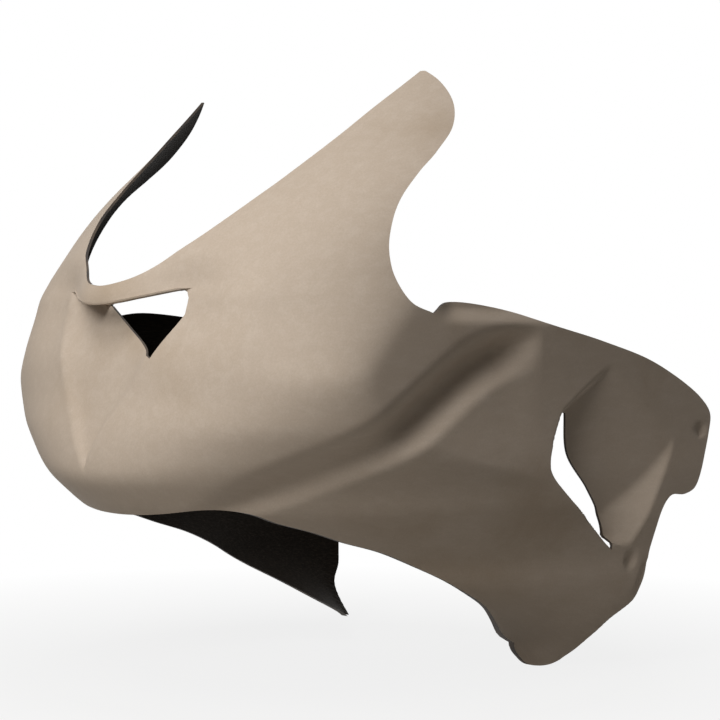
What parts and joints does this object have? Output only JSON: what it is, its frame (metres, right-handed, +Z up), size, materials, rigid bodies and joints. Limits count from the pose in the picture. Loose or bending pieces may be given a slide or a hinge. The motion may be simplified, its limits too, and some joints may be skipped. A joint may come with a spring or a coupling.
{
  "type": "motorcycle race fairing upper",
  "caption": "Thin one-piece front body panel with a screen opening, a scooped nose recess with an intake hole, curved flanks, vent slots and undrilled fixing dimples.",
  "frame": {"origin": "bottom centre of the shell's bounding box, on the centre plane between both flanks", "axes": "+X forwards to the nose, +Y to the rider's left, +Z up as the shell sits on the motorcycle"},
  "size_m": [0.6374, 0.481, 0.5866],
  "materials": {
    "laminate": "matt beige primer outside, bare dark laminate inside"
  },
  "bodies": {
    "root": {"fairing_shell": "laminate"}
  },
  "joints": []
}
